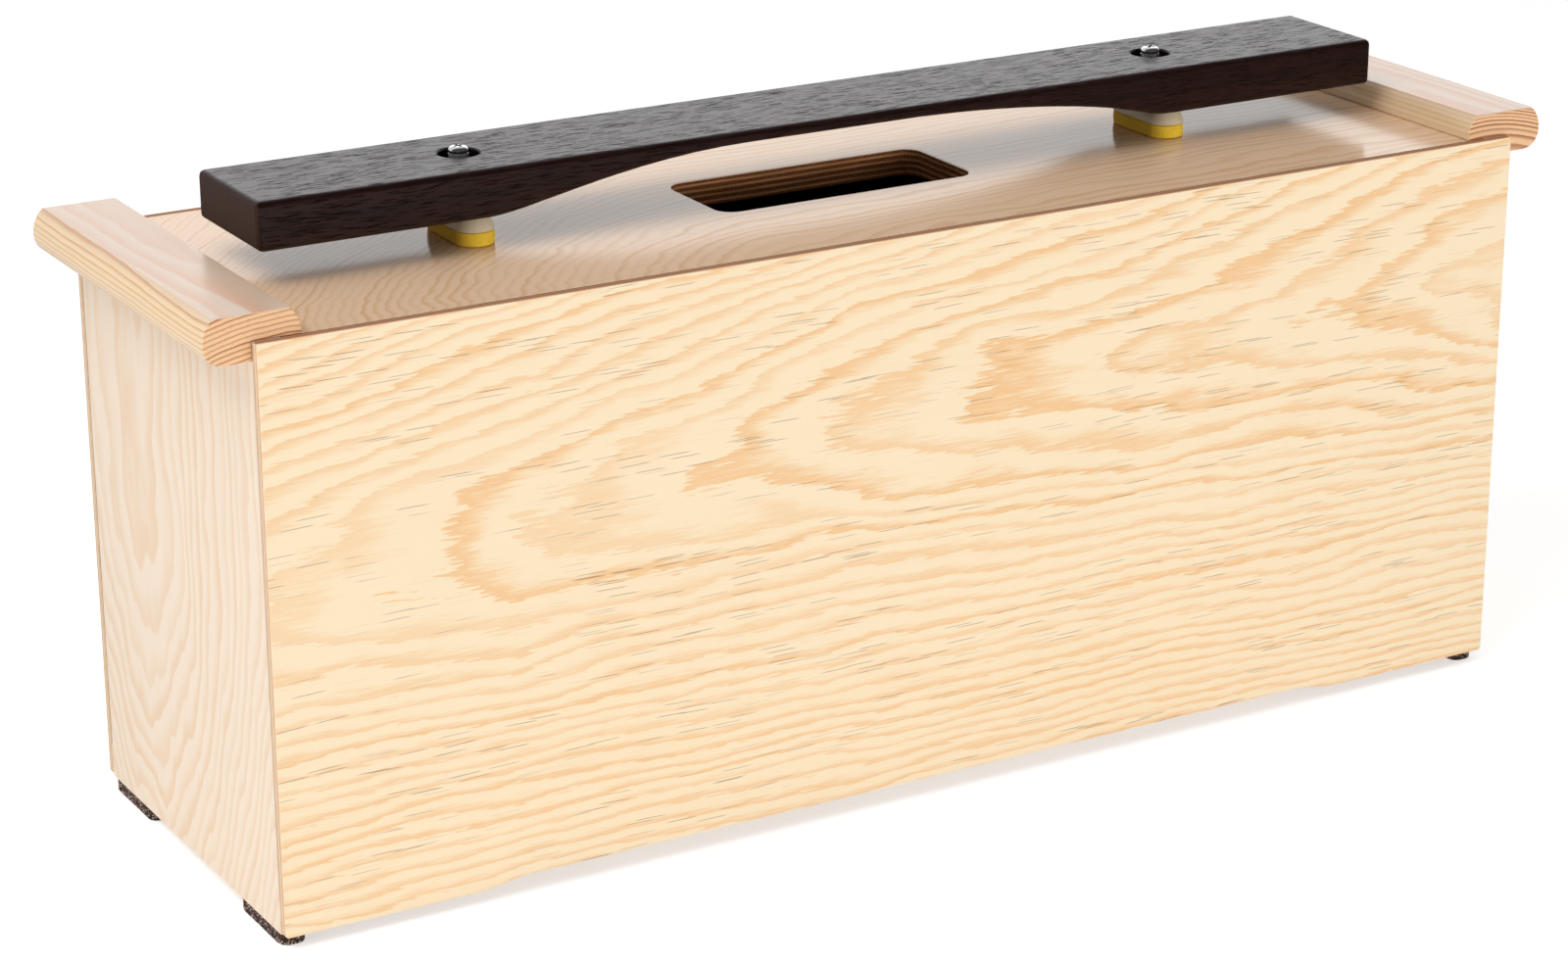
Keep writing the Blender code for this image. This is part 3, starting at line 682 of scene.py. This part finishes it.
def crumb_tree():
    """Scatters crumbs over the upright faces of a base, none below its foot or above its top."""
    tree, nodes, given = geometry_tree("scatter_crumbs", (
        ("Base", "Geometry"), ("Crumb", "Float"), ("Density", "Float"), ("Lowest", "Float"),
        ("Highest", "Float"), ("Seed", "Int"), ("Material", "Material")))
    upward = nodes.split(nodes.add("GeometryNodeInputNormal").outputs[0])[2]
    side = nodes.add("FunctionNodeCompare", {0: nodes.math("ABSOLUTE", upward), 1: 0.5},
                     data_type="FLOAT", operation="LESS_THAN").outputs[0]
    points = nodes.add("GeometryNodeDistributePointsOnFaces", {
        "Mesh": given["Base"], "Selection": side, "Density": given["Density"],
        "Seed": given["Seed"]}).outputs[0]
    at = nodes.split(nodes.add("GeometryNodeInputPosition").outputs[0])
    half = nodes.times(given["Crumb"], 0.5)
    up = nodes.math("MAXIMUM", at[2], nodes.plus(given["Lowest"], half))
    up = nodes.math("MINIMUM", up, nodes.minus(given["Highest"], half))
    held = nodes.add("ShaderNodeCombineXYZ", {0: at[0], 1: at[1], 2: up}).outputs[0]
    points = nodes.add("GeometryNodeSetPosition", {"Geometry": points, "Position": held}).outputs[0]
    ball = nodes.add("GeometryNodeMeshIcoSphere", {"Radius": half, "Subdivisions": 1}).outputs[0]
    size = nodes.add("FunctionNodeRandomValue", {2: 0.55, 3: 1.0, "Seed": 1},
                     data_type="FLOAT").outputs[1]
    spin = nodes.add("FunctionNodeRandomValue", {0: (0, 0, 0), 1: (math.tau,) * 3, "Seed": 2},
                     data_type="FLOAT_VECTOR").outputs[0]
    crumbs = nodes.add("GeometryNodeInstanceOnPoints", {
        "Points": points, "Instance": ball, "Scale": size, "Rotation": spin}).outputs[0]
    tone = nodes.add("FunctionNodeRandomValue", {2: 0.0, 3: 1.0, "Seed": 3},
                     data_type="FLOAT").outputs[1]
    toned = {"Geometry": crumbs, "Name": TONE, "Value": tone}
    crumbs = nodes.add("GeometryNodeStoreNamedAttribute", toned, data_type="FLOAT",
                       domain="INSTANCE").outputs[0]
    joined = nodes.add("GeometryNodeJoinGeometry")
    for part in (given["Base"], crumbs):
        nodes.feed(joined.inputs[0], part)
    end_tree(nodes, joined.outputs[0], given["Material"])
    return tree


def mesh_from(bm, name):
    """A mesh with what this bmesh holds. The bmesh is freed."""
    mesh = bpy.data.meshes.new(name)
    bm.to_mesh(mesh)
    bm.free()
    return mesh


def link_piece(name, data):
    """An object in the scene that shows this mesh, lamp or camera."""
    piece = bpy.data.objects.new(name, data)
    bpy.context.scene.collection.objects.link(piece)
    return piece


def place_piece(piece, slot, *nodes):
    """The piece stands for these nodes and moves with their body."""
    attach(piece, body_of(*nodes))
    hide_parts(*nodes)
    return piece


def welded(node, name, mat=None):
    """A copy of a CAD node's mesh, its loose triangles welded and its flat faces whole."""
    bm = bmesh.new()
    bm.from_mesh(frame["nodes"][node].data)
    bmesh.ops.remove_doubles(bm, verts=bm.verts, dist=MERGE)
    bmesh.ops.dissolve_limit(bm, angle_limit=math.radians(FLAT_DEGREES), verts=bm.verts,
                             edges=bm.edges)
    points = [v.co.copy() for v in bm.verts]
    bm.verts.index_update()
    faces = [[v.index for v in face.verts] for face in bm.faces]
    bm.free()
    mesh = bpy.data.meshes.new(name)
    mesh.from_pydata(points, [], faces)
    if mat:
        mesh.materials.append(mat)
    return mesh


def shade_edges(piece, degrees=SMOOTH_DEGREES):
    """Shade roundings smooth, and keep the flat faces beside them flat."""
    piece.data.shade_smooth()
    piece.data.set_sharp_from_angle(angle=math.radians(degrees))
    weigh = piece.modifiers.new("weigh", "WEIGHTED_NORMAL")
    weigh.keep_sharp = True
    settle(piece)


def smooth_copy(node, name, mat, slot):
    """A welded copy of a CAD node, shaded smooth over its rounded edges."""
    piece = link_piece(name, welded(node, name, mat))
    shade_edges(piece)
    return place_piece(piece, slot, node)


def stadium_ring(length, width, inset, height):
    """Points round a pad's outline: straight sides along Y, half round ends."""
    radius = width / 2 - inset
    straight = (length - width) / 2
    points = []
    for step in range(PAD_STEPS):
        turn = math.tau * (step + 0.5) / PAD_STEPS
        shift = straight if math.sin(turn) > 0 else -straight
        points.append((radius * math.cos(turn), radius * math.sin(turn) + shift, height))
    return points


def pad_piece(node, name, mat, slot, profile, hole):
    """A closed pad, bored for its post. Each point of the profile insets and raises its outline."""
    low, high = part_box(node)
    size = high - low
    rings = [stadium_ring(size.y, size.x, inset, height) for inset, height in profile]
    bm = bmesh.new()
    rows = [[bm.verts.new(point) for point in ring] for ring in rings]
    for lower, upper in zip(rows, rows[1:]):
        for step in range(PAD_STEPS):
            after = (step + 1) % PAD_STEPS
            bm.faces.new((lower[step], lower[after], upper[after], upper[step]))
    bm.faces.new(reversed(rows[0]))
    bm.faces.new(rows[-1])
    mesh = mesh_from(bm, name)
    mesh.materials.append(mat)
    bm = bmesh.new()
    bmesh.ops.create_cone(bm, cap_ends=True, segments=PAD_STEPS, radius1=hole, radius2=hole,
                          depth=size.z * BORE_LENGTH)
    piece = link_piece(name, mesh)
    cutter = link_piece("bore", mesh_from(bm, "bore"))
    bored = piece.modifiers.new("bore", "BOOLEAN")
    bored.operation = "DIFFERENCE"
    bored.solver = "EXACT"
    bored.object = cutter
    settle(piece)
    bpy.data.objects.remove(cutter)
    piece.data.transform(Matrix.Translation((middle(node).x, middle(node).y, low.z)))
    shade_edges(piece, PAD_SMOOTH_DEGREES)
    return place_piece(piece, slot, node)


def soft_profile(height, edge, bulge):
    """From the foot of a flat pad to its top: rounded edges and sides that swell between them."""
    profile = []
    for step in range(EDGE_STEPS + 1):
        turn = math.pi / 2 * step / EDGE_STEPS
        profile.append((bulge + edge * (1 - math.sin(turn)), edge * (1 - math.cos(turn))))
    profile.append((0.0, height / 2))
    return profile + [(inset, height - at) for inset, at in reversed(profile[:-1])]


def dome_profile(height, foot, edge):
    """From a cap's foot to its crown: small edge, short upright side, leaning quarter round."""
    radius = height - foot
    profile = [(edge, 0.0), (0.0, edge)]
    for step in range(DOME_STEPS + 1):
        turn = math.pi / 2 * step / DOME_STEPS
        rise = math.sin(turn) ** DOME_POWER
        profile.append((radius * (1 - math.cos(turn)), foot + radius * rise))
    return profile


class RESONATOR_OT_sound_bar(bpy.types.Operator):
    """Finish the tone bar in oiled rosewood"""

    bl_idname = "resonator.sound_bar"
    bl_label = "Sound Bar"

    def execute(self, context):
        mat = rosewood(context.scene.resonator.rosewood, middle("right_screw").x)
        smooth_copy("sound_bar", "tone_bar", mat, "dark_rosewood")
        return {"FINISHED"}


class RESONATOR_OT_box(bpy.types.Operator):
    """Finish the panels and boards of the resonance box in lacquered plywood"""

    bl_idname = "resonator.box"
    bl_label = "Resonance Box"

    def execute(self, context):
        settings = context.scene.resonator.plywood
        gap = settings.line_spacing
        for face in FACES:
            node = face + "_panel"
            low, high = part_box(node)
            inward = 1 if face == "front" else -1
            pith = (low.y + inward * 0.095, low.z + 0.68 * (high.z - low.z))
            cut = Cut(0, pith, gap, 2.0 + len(face), taper=-0.07, lean=0.08, ripple=0.012,
                      late=0.36)
            look, wood = veneer(face + "_veneer", settings, cut, settings.pale, settings.warm,
                                settings.roughness, settings.gloss)
            edge, on_edge = three_plies(look, low.y, high.y, settings)
            wood = painted_wall_shade(look, 1, inward, wood, settings)
            rough = look.ease(on_edge, 0, 1, settings.roughness, settings.edge_roughness)
            look.wear(look.mix(on_edge, wood, edge), rough)
            smooth_copy(node, face + "_face", look.mat, "pine_plywood")
        for number, side in enumerate(SIDES):
            node = side + "_end_panel"
            low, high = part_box(node)
            inward = 1 if side == "left" else -1
            cut = Cut(2, (low.x + 0.07, 0.045), gap * 1.2, 6.0 + number, swirl=0.70,
                      swirl_start=0.17, ripple=0.016, teeth=0.001, late=0.45)
            look, wood = veneer(side + "_end_veneer", settings, cut, settings.end_pale,
                                settings.end_warm, settings.roughness, settings.gloss, pores=0.1)
            look.wear(painted_wall_shade(look, 0, inward, wood, settings))
            smooth_copy(node, side + "_end_face", look.mat, "pine_plywood")
        low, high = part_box("top_board")
        cut = Cut(0, (-0.122, low.z - 0.04), gap * 0.95, 12.0, taper=-0.03, swirl=1.3,
                  swirl_start=-0.07, wander=0.026, ripple=0.018, teeth=0.0010, late=0.40,
                  uneven=0.75)
        look, wood = veneer("top_veneer", settings, cut, settings.top_pale, settings.top_warm,
                            settings.top_roughness, settings.top_gloss, pores=0.3)
        wood = painted_wall_shade(look, 2, -1, wood, settings)
        wall = plies(look, 2, low.z, high.z, TOP_PLIES, settings)
        look.wear(look.mix(look.facing(2), wall, wood))
        smooth_copy("top_board", "sound_board", look.mat, "top_plywood")
        cut = Cut(0, (0.02, 0.0), gap, 15.0)
        look, wood = veneer("bottom_veneer", settings, cut, settings.pale, settings.warm,
                            settings.roughness, settings.gloss)
        look.wear(painted_wall_shade(look, 2, 1, wood, settings))
        smooth_copy("bottom_board", "base_board", look.mat, "pine_plywood")
        return {"FINISHED"}


class RESONATOR_OT_rails(bpy.types.Operator):
    """Finish the hand rails in solid pine"""

    bl_idname = "resonator.rails"
    bl_label = "Hand Rails"

    def execute(self, context):
        settings = context.scene.resonator.pine
        ring = settings.ring_spacing
        for side in SIDES:
            low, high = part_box(side + "_rail")
            if side == "left":
                cut = Cut(1, (high.x - 0.010, low.z - 0.080), ring * 1.05, 1.0, taper=0.012,
                          wander=0.012, ripple=0.003, teeth=0.0004, late=0.32, uneven=0.5)
                side_lines = 1.0
            else:
                cut = Cut(1, (low.x + 0.012, low.z - 0.090), ring * 3.1, 4.0, taper=0.006,
                          wander=0.004, ripple=0.001, teeth=0.0003, crowd=0.77, start=0.0956,
                          late=0.42, uneven=0.4)
                side_lines = 0.4
            mat = rail_pine(side + "_pine", settings, cut, side_lines)
            smooth_copy(side + "_rail", side + "_hand_rail", mat, "solid_pine")
        return {"FINISHED"}


class RESONATOR_OT_pads(bpy.types.Operator):
    """Make the two-layer pads that carry the bar"""

    bl_idname = "resonator.pads"
    bl_label = "Pads"

    def execute(self, context):
        settings = context.scene.resonator.pads
        felt = yellow_felt(settings)
        cream = cream_cap(settings)
        for side in SIDES:
            flat, domed = side + "_felt_pad", side + "_pad_cap"
            heights = [high.z - low.z for low, high in map(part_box, (flat, domed))]
            low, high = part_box(side + "_sleeve")
            hole = (high.x - low.x) / 2 + settings.hole_gap
            lower = pad_piece(flat, side + "_yellow_layer", felt, "yellow_felt",
                              soft_profile(heights[0], settings.edge, settings.bulge), hole)
            upper = pad_piece(domed, side + "_cream_layer", cream, "cream_foam",
                              dome_profile(heights[1], settings.foot, settings.cap_edge), hole)
        return {"FINISHED"}


class RESONATOR_OT_posts(bpy.types.Operator):
    """Stand the screws and their clear sleeves at the bar's holes"""

    bl_idname = "resonator.posts"
    bl_label = "Posts"

    def execute(self, context):
        settings = context.scene.resonator.posts
        tree = post_tree()
        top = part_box("right_screw")[1].z
        steel = bright_steel(settings, top, middle("right_screw").x)
        kinds = (("screw", steel, "bright_steel"), ("sleeve", clear_sleeve(), "clear_sleeve"))
        for kind, mat, slot in kinds:
            nodes = [side + "_" + kind for side in SIDES]
            first, last = (middle(node) for node in nodes)
            mesh = welded(nodes[0], kind)
            mesh.transform(Matrix.Translation(-first))
            shape = link_piece(kind, mesh)
            posts = link_piece("post_" + kind + "s", bpy.data.meshes.new("posts"))
            run_tree(posts, tree, {
                "Shape": shape, "Count": len(nodes), "Start": first, "Step": last - first,
                "Start Turn": settings.start_turn, "Turn": settings.turn, "Material": mat})
            bpy.data.objects.remove(shape)
            shade_edges(posts)
            place_piece(posts, slot, *nodes)
        return {"FINISHED"}


class RESONATOR_OT_feet(bpy.types.Operator):
    """Cover the feet in pressed rubber crumbs"""

    bl_idname = "resonator.feet"
    bl_label = "Feet"

    def execute(self, context):
        settings = context.scene.resonator.feet
        nodes = [f"{side}_{face}_foot" for side in SIDES for face in FACES]
        bm = bmesh.new()
        for node in nodes:
            part = welded(node, node)
            at = middle(node)
            low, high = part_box(node)
            size = high - low
            inset = [(size[axis] - CRUMB_ROOM * settings.crumb) / size[axis] for axis in (0, 1)]
            shrink = Matrix.Diagonal((*inset, 1, 1))
            part.transform(Matrix.Translation(at) @ shrink @ Matrix.Translation(-at))
            bm.from_mesh(part)
        piece = link_piece("crumb_feet", mesh_from(bm, "foot_bases"))
        run_tree(piece, crumb_tree(), {
            "Crumb": settings.crumb, "Density": settings.density, "Lowest": low.z,
            "Highest": high.z, "Seed": settings.seed, "Material": rubber_crumb(settings)})
        place_piece(piece, "granulate", *nodes)
        return {"FINISHED"}


def add_lamp(name, power, size, place, target, only_gloss):
    """A large soft lamp that looks at a point. It shows only in gloss, or in everything else."""
    data = bpy.data.lights.new(name, "AREA")
    data.shape = "RECTANGLE"
    data.size, data.size_y = size
    data.energy = power
    lamp = link_piece(name, data)
    lamp.location = place
    lamp.visible_camera = False
    lamp.visible_glossy = only_gloss
    lamp.visible_diffuse = not only_gloss
    lamp.rotation_euler = (Vector(target) - Vector(place)).to_track_quat("-Z", "Y").to_euler()


def white_world(settings):
    """White to the camera and through glass, dim in front to gloss, else brightest overhead."""
    world = bpy.data.worlds.new("white_studio")
    world.use_nodes = True
    bpy.context.scene.world = world
    nodes = Nodes(world.node_tree)
    background = world.node_tree.nodes["Background"]
    background.inputs["Color"].default_value = (1, 1, 1, 1)
    path = nodes.add("ShaderNodeLightPath").outputs
    way = nodes.split(nodes.add("ShaderNodeTexCoord").outputs["Generated"])
    behind = nodes.ease(way[1], 0.0, 0.5, settings.front_shade, settings.back_shade)
    around = nodes.ease(way[2], 0.0, 0.9, settings.horizon, settings.surround)
    straight = nodes.math("MAXIMUM", path["Is Camera Ray"], path["Is Transmission Ray"])
    light = nodes.ease(path["Is Glossy Ray"], 0, 1, around, behind)
    nodes.feed(background.inputs["Strength"], nodes.math("MAXIMUM", light, straight))


def white_floor(settings):
    """The floor, which shows dark on the right to glossy faces."""
    look = Look("white_floor", 0.9)
    cloud = look.speckle((2, 2, 2), 3.0)
    white = look.mix(cloud, (0.93, 0.93, 0.93, 1), (0.95, 0.95, 0.95, 1))
    path = look.add("ShaderNodeLightPath").outputs
    right = look.ease(look.position()[0], 0.15, 0.65)
    dim = look.times(look.times(right, path["Is Glossy Ray"]), 0.9)
    look.wear(look.mix(dim, white, (0.05, 0.05, 0.05, 1)))
    look.inputs["Emission Color"].default_value = (1, 1, 1, 1)
    glow = look.ease(path["Is Camera Ray"], 0, 1, settings.floor_glow, 0.5)
    glow = look.times(glow, look.minus(1.0, dim))
    look.feed(look.inputs["Emission Strength"], glow)
    bm = bmesh.new()
    bmesh.ops.create_grid(bm, x_segments=1, y_segments=1, size=FLOOR_REACH)
    mesh = mesh_from(bm, "floor")
    mesh.materials.append(look.mat)
    link_piece("floor", mesh)


def add_camera():
    data = bpy.data.cameras.new("camera")
    data.lens = CAMERA_LENS
    data.sensor_fit = "HORIZONTAL"
    data.clip_start, data.clip_end = CAMERA_CLIP
    camera = link_piece("camera", data)
    camera.location = CAMERA_PLACE
    aim = Euler((math.radians(90 - CAMERA_ELEVATION), 0, math.radians(-CAMERA_AZIMUTH))).to_matrix()
    roll = Matrix.Rotation(math.radians(CAMERA_ROLL), 3, "Z")
    camera.rotation_euler = (aim @ roll).to_euler()
    bpy.context.scene.camera = camera


class RESONATOR_OT_stage(bpy.types.Operator):
    """Set the floor, the surround, the lamps and the camera"""

    bl_idname = "resonator.stage"
    bl_label = "Stage"

    def execute(self, context):
        settings = context.scene.resonator.stage
        white_world(settings)
        white_floor(settings)
        for name, size, place, target in LAMPS:
            power = getattr(settings, name + "_power")
            add_lamp(name, power, size, place, middle(target), only_gloss=name == "back")
        add_camera()
        context.scene.view_settings.view_transform = "Standard"
        return {"FINISHED"}


STEPS = (
    ("sound_bar", RESONATOR_OT_sound_bar),
    ("box", RESONATOR_OT_box),
    ("rails", RESONATOR_OT_rails),
    ("pads", RESONATOR_OT_pads),
    ("posts", RESONATOR_OT_posts),
    ("feet", RESONATOR_OT_feet),
    ("stage", RESONATOR_OT_stage),
)


class RESONATOR_PT_panel(bpy.types.Panel):
    """Lists the steps that dress the resonator bar"""

    bl_idname = "RESONATOR_PT_panel"
    bl_label = "Resonator Bar"
    bl_space_type = "VIEW_3D"
    bl_region_type = "UI"
    bl_category = "Resonator Bar"

    def draw(self, context):
        for name, operator in STEPS:
            self.layout.operator("resonator." + name)


CLASSES = (
    RosewoodSettings,
    PlywoodSettings,
    PineSettings,
    PadSettings,
    PostSettings,
    FootSettings,
    StageSettings,
    ResonatorSettings,
    *(operator for name, operator in STEPS),
    RESONATOR_PT_panel,
)


def register():
    for cls in CLASSES:
        bpy.utils.register_class(cls)
    bpy.types.Scene.resonator = PointerProperty(type=ResonatorSettings)


def unregister():
    del bpy.types.Scene.resonator
    for cls in reversed(CLASSES):
        bpy.utils.unregister_class(cls)


def main():
    register()
    for name, operator in STEPS:
        getattr(bpy.ops.resonator, name)()


if __name__ == "__main__":
    main()
